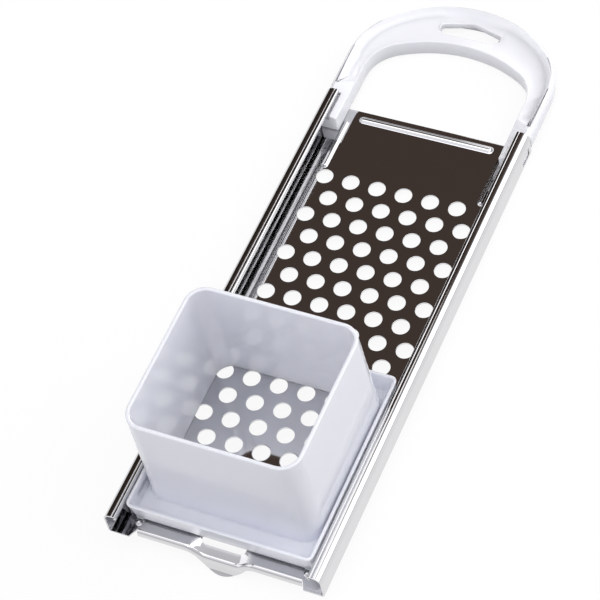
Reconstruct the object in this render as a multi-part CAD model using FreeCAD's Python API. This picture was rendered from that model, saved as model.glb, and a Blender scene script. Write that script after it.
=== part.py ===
import FreeCAD, Part
import os
import math

# Slicer for small dumplings: a perforated sheet with folded side rails, a hopper
# that slides along the rails, and a bow handle snapped into the upper rail ends.
# X runs across the slicer, +Y runs towards the handle, +Z is up.
# The origin is the centre of the field of holes, on the flat underside of the sheet.

# sheet
sheet_thickness = 0.8
rail_length = 259.0
rail_low_y = -125.7
rail_height = 14.8
seam_inset = 5.8
foot_bend_radius = 1.2
crown_radius = 3.8
groove_radius = 0.6
groove_angle = 35.0
hem_radius = 0.85
hem_turn = 205.0

# holes
hole_diameter = 8.5
hole_pitch = 14.0
row_spacing = 12.04
low_row_y = -90.3
holes_per_row = 6
row_shift = 0.25

# pressed stiffening beads and stops
bead_height = 1.2
cross_bead_width = 4.6
cross_bead_reach = 33.5
cross_bead_setback = 4.9
side_bead_width = 3.4
side_bead_inset = 12.6
side_bead_length = 27.5
side_bead_setback = 9.0
stop_inset = 11.8
stop_setback = 8.1
stop_width = 3.6

# lower lip
lip_seam_setback = 17.0
lip_fold_setback = 3.0
lip_fold_inset = 12.8
lip_notch_inset = 10.4
lip_fold_radius = 1.4
lip_flange_drop = 3.6
dip_depth = 4.6
dip_run = 9.0
dip_flat_half_width = 7.0
dip_half_width = 17.5
dip_stations = 8
window_half_width = 11.0
window_setback = 8.1
window_width_y = 7.2
window_corner = 2.2

# pot hook
hook_radius = 14.0
hook_centre_rise = 8.4
hook_curl_radius = 6.5

# snap windows in the rail walls
snap_setback = 2.5
snap_length = 8.5
snap_low_z = 2.3
snap_high_z = 7.3

# hopper
running_gap = 0.3
box_top_z = 68.6
box_top_half_x = 42.3
box_top_front = -39.9
box_top_back = 39.2
box_side_spread = 1.1
box_front_draft = 1.3
box_back_spread = 4.0
box_wall = 2.0
box_corner = 10.0
box_foot_fillet = 0.8
box_rim_round = 0.85
tray_floor_top_z = 6.0
tray_floor_thickness = 2.0
tray_top_z = 14.8
tray_bottom_z = 2.8
tray_side_margin = 1.8
tray_end_margin = 5.4
tray_side_spread = 1.0
tray_end_spread = 2.3
tray_wall = 1.5
tray_corner = 3.0
runner_reach = 7.2
runner_setback = 6.6
runner_top_z = 11.8
runner_thickness = 2.0
runner_side_gap = 0.6
stop_pad_width = 3.4
stop_pad_length = 2.6
stop_pad_bottom_z = 1.4
stop_standoff = 1.5

# handle
handle_top_z = 13.0
handle_end_gap = 0.3
handle_overhang = 0.3
handle_leg_width = 11.15
handle_reach = 71.0
handle_outer_top_radius = 62.0
handle_outer_corner_radius = 36.0
handle_crown_width = 24.1
handle_inner_top_radius = 67.5
handle_inner_corner_radius = 20.0
handle_top_round = 4.0
handle_base_round = 4.5
crease_side_inset = 5.5
crease_crown_inset = 3.9
crease_z = 7.2
crest_lean = 0.52
web_edge_z = 10.3
recess_setback = 13.0
recess_ramp = 6.0
hollow_top_z = 5.4
hollow_foot_inset = 6.2
hollow_top_inset = 3.2
handle_skirt_wall = 2.0
slot_apex_inset = 7.0
slot_shoulder_drop = 4.6
slot_side_length = 4.4
slot_low_drop = 2.3
slot_shoulder_x = 15.9
slot_low_x = 12.2
slot_corner = 1.8
leg_reach = 15.0
leg_width = 9.3
leg_side_gap = 0.4
leg_top_z = 9.3
leg_round = 0.8
lug_clearance = 0.35
lug_reach = 0.8

# sizes that follow from the ones above
rail_high_y = rail_low_y + rail_length
lip_seam_y = rail_low_y + lip_seam_setback
lip_fold_y = rail_low_y + lip_fold_setback
dip_start_y = lip_fold_y + dip_run
window_low_y = rail_low_y + window_setback
window_high_y = window_low_y + window_width_y
stop_y = rail_low_y + stop_setback
cross_bead_y = rail_high_y - cross_bead_setback
side_bead_high_y = rail_high_y - side_bead_setback
side_bead_low_y = side_bead_high_y - side_bead_length
row_count = 1 + int((side_bead_low_y - hole_diameter / 2.0 - low_row_y) / row_spacing)
snap_high_y = rail_high_y - snap_setback
snap_low_y = snap_high_y - snap_length
leg_end_y = rail_high_y - leg_reach
recess_start_y = rail_high_y + recess_setback
handle_outer_apex = rail_high_y + handle_reach
handle_inner_apex = handle_outer_apex - handle_crown_width
slot_apex_y = handle_outer_apex - slot_apex_inset
slot_shoulder_y = slot_apex_y - slot_shoulder_drop
slot_side_y = slot_shoulder_y - slot_side_length
slot_low_y = slot_side_y - slot_low_drop
box_foot_half_x = box_top_half_x + box_side_spread
box_foot_front = box_top_front + box_front_draft
box_foot_back = box_top_back + box_back_spread
tray_foot_half_x = box_foot_half_x + tray_side_margin
tray_top_half_x = tray_foot_half_x + tray_side_spread
tray_foot_half_y = box_foot_back + tray_end_margin
tray_top_half_y = tray_foot_half_y + tray_end_spread
runner_half_x = tray_foot_half_x + runner_reach
runner_half_y = tray_foot_half_y - runner_setback
hopper_y = stop_y + stop_standoff + tray_foot_half_y
rail_half_width = runner_half_x + runner_side_gap + sheet_thickness
seam_half_width = rail_half_width - seam_inset
side_bead_x = rail_half_width - side_bead_inset
stop_x = rail_half_width - stop_inset
lip_fold_half_width = rail_half_width - lip_fold_inset
lip_notch_half_width = rail_half_width - lip_notch_inset
leg_outer_x = rail_half_width - sheet_thickness - leg_side_gap
leg_inner_x = leg_outer_x - leg_width
handle_outer_half = rail_half_width + handle_overhang
handle_inner_half = handle_outer_half - handle_leg_width
handle_bottom_z = sheet_thickness + running_gap
plate_top_z = sheet_thickness


def vec(x, y, z):
    return FreeCAD.Vector(x, y, z)


def block(x0, x1, y0, y1, z0, z1):
    return Part.makeBox(x1 - x0, y1 - y0, z1 - z0, vec(x0, y0, z0))


def polygon_face(points):
    return Part.Face(Part.makePolygon(points + [points[0]]))


def prism(points, z0, z1):
    face = polygon_face([vec(x, y, z0) for x, y in points])
    return face.extrude(vec(0, 0, z1 - z0))


def rounded_prism(points, radius, z0, z1):
    # polygon with every corner rounded to the same radius, counter-clockwise
    edges = []
    ends = []
    count = len(points)
    for i in range(count):
        p = vec(points[i][0], points[i][1], z0)
        a = vec(points[i - 1][0], points[i - 1][1], z0)
        b = vec(points[(i + 1) % count][0], points[(i + 1) % count][1], z0)
        to_a = (a - p).normalize()
        to_b = (b - p).normalize()
        half = to_a.getAngle(to_b) / 2.0
        setback = radius / math.tan(half)
        start = p + to_a * setback
        stop = p + to_b * setback
        centre_line = (to_a + to_b).normalize()
        middle = p + centre_line * (radius / math.sin(half) - radius)
        ends.append((start, middle, stop))
    for i in range(count):
        start, middle, stop = ends[i]
        edges.append(Part.Arc(start, middle, stop).toShape())
        following = ends[(i + 1) % count][0]
        edges.append(Part.LineSegment(stop, following).toShape())
    face = Part.Face(Part.Wire(edges))
    return face.extrude(vec(0, 0, z1 - z0))


def sheet_section(start, heading, moves, thickness):
    # closed section of bent sheet in the XZ plane; the moves are straight runs
    # ("run", length) and bends ("bend", centre-line radius, angle in degrees)
    x, z = start
    angle = math.radians(heading)
    left = []
    right = []
    half = thickness / 2.0

    def side(px, pz, a, offset):
        return vec(px - math.sin(a) * offset, 0, pz + math.cos(a) * offset)

    for move in moves:
        before_left = side(x, z, angle, half)
        before_right = side(x, z, angle, -half)
        if move[0] == "run":
            x += move[1] * math.cos(angle)
            z += move[1] * math.sin(angle)
            left.append(Part.LineSegment(before_left, side(x, z, angle, half)))
            right.append(Part.LineSegment(before_right, side(x, z, angle, -half)))
        else:
            radius = move[1]
            turn = math.radians(move[2])
            sign = 1.0 if turn > 0 else -1.0
            cx = x - math.sin(angle) * radius * sign
            cz = z + math.cos(angle) * radius * sign
            middle = angle + turn / 2.0
            final = angle + turn
            mx = cx + math.sin(middle) * radius * sign
            mz = cz - math.cos(middle) * radius * sign
            x = cx + math.sin(final) * radius * sign
            z = cz - math.cos(final) * radius * sign
            left.append(Part.Arc(before_left, side(mx, mz, middle, half), side(x, z, final, half)))
            right.append(Part.Arc(before_right, side(mx, mz, middle, -half), side(x, z, final, -half)))
            angle = final
    first = Part.LineSegment(right[0].StartPoint, left[0].StartPoint)
    last = Part.LineSegment(left[-1].EndPoint, right[-1].EndPoint)
    shapes = [first.toShape()]
    shapes += [curve.toShape() for curve in left]
    shapes.append(last.toShape())
    shapes += [curve.toShape() for curve in reversed(right)]
    return Part.Face(Part.Wire(Part.__sortEdges__(shapes)))


def capsule(x0, y0, x1, y1, z, radius):
    a = vec(x0, y0, z)
    b = vec(x1, y1, z)
    body = Part.makeSphere(radius, a)
    if (b - a).Length > 0.01:
        body = body.fuse(Part.makeSphere(radius, b))
        body = body.fuse(Part.makeCylinder(radius, (b - a).Length, a, b - a))
    return body


def press_bead(sheet, x0, y0, x1, y1, width):
    # ridge pressed up out of the sheet, with its hollow on the underside
    half = width / 2.0
    radius = (half * half + bead_height * bead_height) / (2.0 * bead_height)
    centre_z = plate_top_z + bead_height - radius
    reach = rail_length
    ridge = capsule(x0, y0, x1, y1, centre_z, radius)
    ridge = ridge.common(block(-reach, reach, -reach, reach, sheet_thickness / 2.0, reach))
    hollow = capsule(x0, y0, x1, y1, centre_z, radius - sheet_thickness)
    return sheet.fuse(ridge).cut(hollow)


def make_perforated_plate():
    plate = block(-seam_half_width, seam_half_width, lip_seam_y, rail_high_y, 0, plate_top_z)
    cutters = []
    for row in range(row_count):
        y = low_row_y + row * row_spacing
        shift = row_shift if row % 2 == 0 else -row_shift
        for i in range(holes_per_row):
            x = (i - (holes_per_row - 1) / 2.0 + shift) * hole_pitch
            cutters.append(Part.makeCylinder(hole_diameter / 2.0, 3.0, vec(x, y, -1)))
    plate = plate.cut(Part.makeCompound(cutters))
    plate = press_bead(plate, -cross_bead_reach, cross_bead_y, cross_bead_reach, cross_bead_y,
                       cross_bead_width)
    for side in (-1, 1):
        x = side * side_bead_x
        plate = press_bead(plate, x, side_bead_low_y, x, side_bead_high_y, side_bead_width)
    return plate.removeSplitter()


def make_rail(side):
    # the section starts at the seam on the floor and ends in the rolled hem
    bend = foot_bend_radius
    wall_x = rail_half_width - sheet_thickness / 2.0
    top_z = rail_height - sheet_thickness / 2.0
    moves = [
        ("run", wall_x - bend - seam_half_width),
        ("bend", bend, 90.0),
        ("run", top_z - sheet_thickness / 2.0 - bend - crown_radius),
        ("bend", crown_radius, 90.0),
        ("bend", groove_radius, groove_angle),
        ("bend", groove_radius, -2.0 * groove_angle),
        ("bend", groove_radius, groove_angle),
        ("bend", hem_radius, hem_turn),
    ]
    section = sheet_section((seam_half_width, sheet_thickness / 2.0), 0.0, moves, sheet_thickness)
    section.translate(vec(0, rail_low_y, 0))
    rail = section.extrude(vec(0, rail_length, 0))
    rail = rail.cut(block(rail_half_width - 3.0, rail_half_width + 1.0,
                          snap_low_y, snap_high_y, snap_low_z, snap_high_z))
    if side < 0:
        rail = rail.mirror(vec(0, 0, 0), vec(1, 0, 0))
    return rail


def lip_section(x, drop):
    # profile of the dipping middle of the lip, from the flat floor to the flange
    t = sheet_thickness
    r = lip_fold_radius
    points = [(dip_start_y, 0.0), (dip_start_y, t)]
    ramp = 6
    run = dip_start_y - (lip_fold_y + r)
    for i in range(1, ramp + 1):
        s = i / ramp
        fall = drop * s * s * (3.0 - 2.0 * s)
        points.append((dip_start_y - run * s, t - fall))
    for i in range(1, 5):
        a = math.radians(90.0 * i / 4)
        points.append((lip_fold_y + r - r * math.sin(a), t - drop - r + r * math.cos(a)))
    points.append((lip_fold_y, t - drop - lip_flange_drop))
    points.append((lip_fold_y + t, t - drop - lip_flange_drop))
    inner = r - t
    for i in range(4, -1, -1):
        a = math.radians(90.0 * i / 4)
        points.append((lip_fold_y + r - inner * math.sin(a), t - drop - r + inner * math.cos(a)))
    for i in range(ramp - 1, 0, -1):
        s = i / ramp
        fall = drop * s * s * (3.0 - 2.0 * s)
        points.append((dip_start_y - run * s, -fall))
    wire_points = [vec(x, y, z) for y, z in points]
    return Part.makePolygon(wire_points + [wire_points[0]])


def make_front_lip():
    t = sheet_thickness
    half = seam_half_width
    floor = prism([(-half, lip_seam_y), (-half, rail_low_y), (-lip_notch_half_width, rail_low_y),
                   (-lip_fold_half_width, lip_fold_y + lip_fold_radius),
                   (-dip_half_width, lip_fold_y + lip_fold_radius),
                   (-dip_half_width, dip_start_y), (dip_half_width, dip_start_y),
                   (dip_half_width, lip_fold_y + lip_fold_radius),
                   (lip_fold_half_width, lip_fold_y + lip_fold_radius),
                   (lip_notch_half_width, rail_low_y), (half, rail_low_y), (half, lip_seam_y)],
                  0, t)
    lip = floor
    for side in (-1, 1):
        flat = Part.Face(lip_section(side * dip_half_width, 0.0))
        run = side * (lip_fold_half_width - dip_half_width)
        lip = lip.fuse(flat.extrude(vec(run, 0, 0)))
    stations = []
    span = dip_half_width - dip_flat_half_width
    for i in range(dip_stations + 1):
        s = i / dip_stations
        drop = dip_depth * s * s * (3.0 - 2.0 * s)
        stations.append((-dip_half_width + span * s, drop))
    stations += [(-x, drop) for x, drop in reversed(stations)]
    dip = Part.makeLoft([lip_section(x, drop) for x, drop in stations], True, True)
    lip = lip.fuse(dip)
    window = [(-window_half_width, window_low_y), (window_half_width, window_low_y),
              (window_half_width, window_high_y), (-window_half_width, window_high_y)]
    lip = lip.cut(rounded_prism(window, window_corner, -dip_depth, dip_depth))
    for side in (-1, 1):
        x = side * stop_x
        lip = press_bead(lip, x, stop_y, x, stop_y, stop_width)
    return lip.removeSplitter()


def make_pot_hook(lip):
    # tongue that hangs from the middle of the flange and curls forwards to its tip
    top_z = sheet_thickness - dip_depth - lip_flange_drop
    length = 4.0 * hook_radius
    start = vec(-length / 2.0, lip_fold_y - hook_curl_radius, top_z)
    outside = Part.makeCylinder(hook_curl_radius + sheet_thickness, length, start, vec(1, 0, 0))
    inside = Part.makeCylinder(hook_curl_radius, length, start, vec(1, 0, 0))
    disc = Part.makeCylinder(hook_radius, 60.0,
                             vec(0, lip_fold_y - 30.0, top_z + hook_centre_rise), vec(0, 1, 0))
    below = block(-length, length, lip_fold_y - hook_curl_radius, lip_fold_y + sheet_thickness,
                  top_z - hook_radius, top_z)
    curl = outside.cut(inside).common(disc).common(below)
    root = block(-length, length, lip_fold_y, lip_fold_y + sheet_thickness,
                 top_z, top_z + lip_flange_drop - lip_fold_radius)
    return curl.fuse(root.common(disc).cut(lip)).removeSplitter()


def tapered_block(low_half_x, low_front, low_back, low_z,
                  high_half_x, high_front, high_back, high_z, corner):
    # four-sided block with sloping faces and rounded upright corners
    loops = []
    for half_x, front, back, z in ((low_half_x, low_front, low_back, low_z),
                                   (high_half_x, high_front, high_back, high_z)):
        loops.append(Part.makePolygon([vec(-half_x, front, z), vec(half_x, front, z),
                                       vec(half_x, back, z), vec(-half_x, back, z),
                                       vec(-half_x, front, z)]))
    body = Part.makeLoft(loops, True, True)
    upright = [e for e in body.Edges
               if abs(e.Vertexes[0].Point.z - e.Vertexes[-1].Point.z) > 0.5]
    return body.makeFillet(corner, upright)


def make_box(inset, corner):
    foot_z = plate_top_z + running_gap
    return tapered_block(box_foot_half_x - inset, box_foot_front + inset, box_foot_back - inset,
                         foot_z,
                         box_top_half_x - inset, box_top_front + inset, box_top_back - inset,
                         box_top_z, corner)


def make_tray():
    inner_foot_x = tray_foot_half_x - tray_wall
    inner_foot_y = tray_foot_half_y - tray_wall
    inner_top_x = tray_top_half_x - tray_wall
    inner_top_y = tray_top_half_y - tray_wall
    under_z = tray_floor_top_z - tray_floor_thickness
    tray = tapered_block(tray_foot_half_x, -tray_foot_half_y, tray_foot_half_y, tray_bottom_z,
                         tray_top_half_x, -tray_top_half_y, tray_top_half_y, tray_top_z,
                         tray_corner)
    well = tapered_block(inner_foot_x, -inner_foot_y, inner_foot_y, tray_floor_top_z,
                         inner_top_x, -inner_top_y, inner_top_y, tray_top_z,
                         tray_corner - tray_wall)
    under = block(-inner_foot_x, inner_foot_x, -inner_foot_y, inner_foot_y, tray_bottom_z, under_z)
    tray = tray.cut(well).cut(under)
    foot_z = plate_top_z + running_gap
    for side in (-1, 1):
        root = side * (tray_foot_half_x - 0.8)
        edge = side * runner_half_x
        inner_edge = side * (runner_half_x - runner_thickness)
        shelf = block(min(root, edge), max(root, edge), -runner_half_y, runner_half_y,
                      runner_top_z - runner_thickness, runner_top_z)
        skid = block(min(edge, inner_edge), max(edge, inner_edge), -runner_half_y, runner_half_y,
                     foot_z, runner_top_z)
        pad_x = side * stop_x
        pad = block(pad_x - stop_pad_width / 2.0, pad_x + stop_pad_width / 2.0,
                    -tray_foot_half_y, -tray_foot_half_y + stop_pad_length,
                    stop_pad_bottom_z, tray_floor_top_z)
        tray = tray.fuse(shelf).fuse(skid).fuse(pad)
    return tray


def make_hopper():
    body = make_tray().fuse(make_box(0.0, box_corner)).removeSplitter()
    foot = []
    for edge in body.Edges:
        box = edge.BoundBox
        level = abs(box.ZMin - tray_floor_top_z) < 0.01 and abs(box.ZMax - tray_floor_top_z) < 0.01
        inside = max(abs(box.XMin), abs(box.XMax)) < box_foot_half_x + 0.2
        if level and inside and box.YMin > box_foot_front - 0.9 and box.YMax < box_foot_back + 0.2:
            foot.append(edge)
    body = body.makeFillet(box_foot_fillet, foot)
    body = body.cut(make_box(box_wall, box_corner - box_wall))
    rim = [e for e in body.Edges if abs(e.BoundBox.ZMin - box_top_z) < 0.01]
    body = body.makeFillet(box_rim_round, rim)
    body.translate(vec(0, hopper_y, 0))
    return body


def arch_face(half, apex, top_radius, corner_radius, end_y, z):
    # bow outline: straight legs, a corner arc on each side and one top arc
    top_centre_y = apex - top_radius
    gap = top_radius - corner_radius
    rise = math.sqrt(gap * gap - (half - corner_radius) * (half - corner_radius))
    corner_x = half - corner_radius
    corner_y = top_centre_y + rise
    ux = corner_x / gap
    uy = rise / gap
    joint_x = top_radius * ux
    joint_y = top_centre_y + top_radius * uy
    middle = math.atan2(uy, ux) / 2.0
    mid_x = corner_x + corner_radius * math.cos(middle)
    mid_y = corner_y + corner_radius * math.sin(middle)
    edges = [
        Part.LineSegment(vec(half, end_y, z), vec(half, corner_y, z)).toShape(),
        Part.Arc(vec(half, corner_y, z), vec(mid_x, mid_y, z), vec(joint_x, joint_y, z)).toShape(),
        Part.Arc(vec(joint_x, joint_y, z), vec(0, apex, z), vec(-joint_x, joint_y, z)).toShape(),
        Part.Arc(vec(-joint_x, joint_y, z), vec(-mid_x, mid_y, z),
                 vec(-half, corner_y, z)).toShape(),
        Part.LineSegment(vec(-half, corner_y, z), vec(-half, end_y, z)).toShape(),
        Part.LineSegment(vec(-half, end_y, z), vec(half, end_y, z)).toShape(),
    ]
    return Part.Face(Part.Wire(edges))


def outer_face(side_inset, crown_inset, end_y, z):
    return arch_face(handle_outer_half - side_inset, handle_outer_apex - crown_inset,
                     handle_outer_top_radius - side_inset,
                     handle_outer_corner_radius - side_inset, end_y, z)


def inner_face(grow, end_y, z):
    return arch_face(handle_inner_half + grow, handle_inner_apex + grow,
                     handle_inner_top_radius + grow, handle_inner_corner_radius + grow, end_y, z)


def loft_between(low_face, high_face):
    return Part.makeLoft([low_face.OuterWire, high_face.OuterWire], True, True)


def make_recess(end_y):
    # valley inside the raised rim: steep flank outside, gently rising web inside
    rise = handle_top_z + 0.5 - crease_z
    grow = rise * crest_lean
    flank = loft_between(
        outer_face(crease_side_inset, crease_crown_inset, recess_start_y, crease_z),
        outer_face(crease_side_inset - grow, crease_crown_inset - grow,
                   recess_start_y - recess_ramp, handle_top_z + 0.5))
    web = loft_between(outer_face(crease_side_inset, crease_crown_inset, end_y, crease_z),
                       inner_face(0, end_y, web_edge_z))
    return flank.cut(web)


def make_shoulder(side, end_y):
    # slope of a leg's top, from the height of the web's edge up to the rim
    low_x = handle_inner_half - 1.0
    high_x = handle_outer_half - handle_top_round
    slope = (handle_top_z - web_edge_z) / (high_x - handle_inner_half)
    points = [(low_x, web_edge_z - slope), (high_x, handle_top_z), (high_x, handle_top_z + 1.0),
              (low_x, handle_top_z + 1.0)]
    face = polygon_face([vec(side * x, end_y - 1.0, z) for x, z in points])
    return face.extrude(vec(0, recess_start_y + 2.0 - end_y, 0))


def make_handle():
    end_y = rail_high_y + handle_end_gap
    height = handle_top_z - handle_bottom_z
    bow = outer_face(0, 0, end_y, handle_bottom_z).extrude(vec(0, 0, height))
    for level, radius in ((handle_top_z, handle_top_round), (handle_bottom_z, handle_base_round)):
        rim = [e for e in bow.Edges
               if abs(e.BoundBox.ZMin - level) < 0.01 and abs(e.BoundBox.ZMax - level) < 0.01
               and e.BoundBox.YMax > end_y + 1.0]
        bow = bow.makeFillet(radius, rim)
    bow = bow.cut(inner_face(0, end_y - 5.0, handle_bottom_z - 1.0).extrude(vec(0, 0, height + 2.0)))
    bow = bow.cut(make_recess(end_y - 5.0))
    for side in (-1, 1):
        bow = bow.cut(make_shoulder(side, end_y))
    hollow = loft_between(
        outer_face(hollow_foot_inset, hollow_foot_inset, recess_start_y, handle_bottom_z),
        outer_face(hollow_top_inset, hollow_top_inset, recess_start_y, hollow_top_z))
    skirt = inner_face(handle_skirt_wall, end_y - 5.0, handle_bottom_z - 1.0)
    bow = bow.cut(hollow.cut(skirt.extrude(vec(0, 0, height))))
    slot = [(slot_low_x, slot_low_y), (slot_shoulder_x, slot_side_y),
            (slot_shoulder_x, slot_shoulder_y), (0, slot_apex_y),
            (-slot_shoulder_x, slot_shoulder_y), (-slot_shoulder_x, slot_side_y),
            (-slot_low_x, slot_low_y)]
    bow = bow.cut(rounded_prism(slot, slot_corner, handle_bottom_z - 1.0, handle_top_z + 1.0))
    for side in (-1, 1):
        low_x = min(side * leg_inner_x, side * leg_outer_x)
        leg = block(low_x, low_x + leg_width, leg_end_y, end_y + 2.0, handle_bottom_z, leg_top_z)
        leg_edges = [e for e in leg.Edges
                     if abs(e.BoundBox.YMin - leg_end_y) < 0.01 and e.BoundBox.YMax < leg_end_y + 1]
        leg = leg.makeFillet(leg_round, leg_edges)
        lug_x = side * (leg_outer_x - 0.5)
        lug_out = side * (leg_outer_x + lug_reach)
        lug = block(min(lug_x, lug_out), max(lug_x, lug_out),
                    snap_low_y + lug_clearance, snap_high_y - lug_clearance,
                    snap_low_z + lug_clearance, snap_high_z - lug_clearance)
        bow = bow.fuse(leg.fuse(lug))
    return bow.removeSplitter()


def main():
    os.makedirs("parts", exist_ok=True)
    lip = make_front_lip()
    nodes = {
        "perforated_plate": make_perforated_plate(),
        "left_rail": make_rail(-1),
        "right_rail": make_rail(1),
        "front_lip": lip,
        "pot_hook": make_pot_hook(lip),
        "hopper": make_hopper(),
        "handle": make_handle(),
    }
    for name, shape in nodes.items():
        box = shape.BoundBox
        print(name, "solids", len(shape.Solids), "valid", shape.isValid(),
              "volume", round(shape.Volume, 1),
              "box", [round(v, 2) for v in (box.XMin, box.XMax, box.YMin, box.YMax,
                                            box.ZMin, box.ZMax)])
        shape.exportStep("parts/" + name + ".step")


main()
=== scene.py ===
import math

import bmesh
import bpy
from bpy.props import FloatProperty, FloatVectorProperty, IntProperty, PointerProperty
from mathutils import Matrix, Vector


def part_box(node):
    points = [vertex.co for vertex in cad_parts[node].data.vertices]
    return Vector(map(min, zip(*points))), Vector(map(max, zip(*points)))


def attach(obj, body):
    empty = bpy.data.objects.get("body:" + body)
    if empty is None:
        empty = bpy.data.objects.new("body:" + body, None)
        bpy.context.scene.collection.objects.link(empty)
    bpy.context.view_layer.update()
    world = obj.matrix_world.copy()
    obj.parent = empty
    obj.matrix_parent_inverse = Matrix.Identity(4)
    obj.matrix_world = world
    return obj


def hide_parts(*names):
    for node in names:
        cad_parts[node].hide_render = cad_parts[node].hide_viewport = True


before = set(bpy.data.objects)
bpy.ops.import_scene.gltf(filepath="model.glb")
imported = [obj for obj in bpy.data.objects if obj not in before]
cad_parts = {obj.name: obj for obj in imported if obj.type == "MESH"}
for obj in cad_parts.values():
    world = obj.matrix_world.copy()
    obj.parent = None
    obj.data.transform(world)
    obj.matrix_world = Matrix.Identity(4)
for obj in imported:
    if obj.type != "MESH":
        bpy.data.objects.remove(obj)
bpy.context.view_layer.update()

bl_info = {
    "name": "Dumpling Slicer",
    "version": (1, 0, 0),
    "blender": (4, 5, 0),
    "location": "View3D > Sidebar > Dumpling Slicer",
    "description": "Perforated dumpling slicer with a sliding hopper and a bow handle",
    "category": "Add Mesh",
}

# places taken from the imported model
rail_low, rail_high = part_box("right_rail")
lip_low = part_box("front_lip")[0]
hook_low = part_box("pot_hook")[0]
hopper_low, hopper_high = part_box("hopper")
handle_low, handle_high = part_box("handle")
hopper_y = (hopper_low.y + hopper_high.y) / 2.0

# two places nearer than this are the same
same = 1e-6
# how far a cutting solid reaches past what it cuts
spare = 0.001
# sharpest turn between two faces that stays unrounded on the plastic, in degrees
soft_turn = 35.0
# how far the tongue's curl stands in front of the lip's fold
curl_reach = 0.0030


def length(name, description, default):
    return FloatProperty(name=name, description=description, default=default, unit="LENGTH",
                         precision=4)


def colour(name, description, default):
    return FloatVectorProperty(name=name, description=description, default=default, size=3,
                               subtype="COLOR", min=0.0, max=1.0)


class SlicerSheetSizes(bpy.types.PropertyGroup):
    thickness: length("Thickness", "Thickness of the pressed sheet", 0.0008)
    half_width: length("Half width", "Middle to the outside of a rail", rail_high.x)
    low_end: length("Low end", "Y of the lower rail ends", rail_low.y)
    high_end: length("High end", "Y of the upper rail ends", rail_high.y)
    rail_height: length("Rail height", "Top of the rails above the underside", rail_high.z)
    foot_run: length("Foot run", "Flat run before the rail's bend", 0.0013)
    foot_bend: length("Foot bend", "Radius of the bend at the rail's foot", 0.0012)
    crown: length("Crown", "Radius of the rail's rounded shoulder", 0.0038)
    groove: length("Groove", "Radius of the groove beside the rolled hem", 0.0006)
    hem: length("Hem", "Radius of the rolled hem", 0.00085)
    snap_low: length("Snap window low", "Lower end of the window in the rail's wall", 0.1223)
    snap_high: length("Snap window high", "Upper end of the window in the rail's wall", 0.1308)
    snap_bottom: length("Snap window bottom", "Bottom of the window in the rail's wall", 0.0023)
    snap_top: length("Snap window top", "Top of the window in the rail's wall", 0.0073)
    hole: length("Hole", "Diameter of a hole", 0.0085)
    hole_band: length("Hole band", "Width of the band round a hole", 0.00035)
    pitch: length("Pitch", "Distance of the holes along a row", 0.014)
    row_spacing: length("Row spacing", "Distance between two rows", 0.01204)
    rows: IntProperty(name="Rows", description="Number of rows of holes", default=16, min=1)
    columns: IntProperty(name="Holes in a row", description="Holes in a row", default=6, min=1)
    bead_height: length("Bead height", "Height of the pressed beads", 0.0012)
    bead_foot: length("Bead foot", "Width of the flat band round a bead", 0.0003)
    cross_bead_half: length("Cross bead half", "Half the length of the cross bead", 0.0335)
    cross_bead_y: length("Cross bead place", "Y of the cross bead", 0.1284)
    cross_bead_width: length("Cross bead width", "Width of the cross bead", 0.0046)
    side_bead_x: length("Side bead place", "Middle to a side bead", 0.0412)
    side_bead_low: length("Side bead low", "Y of a side bead's lower end", 0.0968)
    side_bead_high: length("Side bead high", "Y of a side bead's upper end", 0.1243)
    side_bead_width: length("Side bead width", "Width of a side bead", 0.0034)
    stop_x: length("Stop place across", "Middle to a pressed stop", 0.042)
    stop_y: length("Stop place along", "Y of the pressed stops", -0.1176)
    stop_width: length("Stop width", "Width of a pressed stop", 0.0036)
    fold_y: length("Lip fold", "Y of the lip's folded front face", lip_low.y + curl_reach)
    fold_bend: length("Fold bend", "Radius of the lip's fold", 0.0015)
    fold_lead: length("Fold lead", "Flat run beside the dip before the fold", 0.0004)
    fold_half: length("Fold half width", "Middle to the end of the lip's fold", 0.041)
    notch_half: length("Notch half width", "Middle to the foot of the notch", 0.0434)
    flange: length("Flange", "Height of the folded flange below the sheet", 0.0036)
    dip: length("Dip", "Depth of the dip in the middle of the lip", 0.0046)
    dip_run: length("Dip run", "Length of the slope from the sheet to the fold", 0.0086)
    dip_flat: length("Dip flat", "Half width of the level part of the dip", 0.007)
    dip_half: length("Dip half width", "Half width of the whole dip", 0.0175)
    dip_power: FloatProperty(name="Dip curve", description="How late the slope falls", default=1.7)
    window_half: length("Window half width", "Half width of the window in the lip", 0.011)
    window_low: length("Window low", "Y of the window's lower edge", -0.1176)
    window_high: length("Window high", "Y of the window's upper edge", -0.1104)
    window_corner: length("Window corner", "Radius of the window's corners", 0.0022)
    hook_radius: length("Tongue radius", "Radius of the tongue's round end", 0.014)
    hook_rise: length("Tongue rise", "Height of the round end's centre above the flange", 0.0087)
    hook_curl: length("Tongue curl", "Radius of the tongue's forward curl", 0.0065)
    edge: length("Edge rounding", "Rounding of the cut edges", 0.00012)


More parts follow.
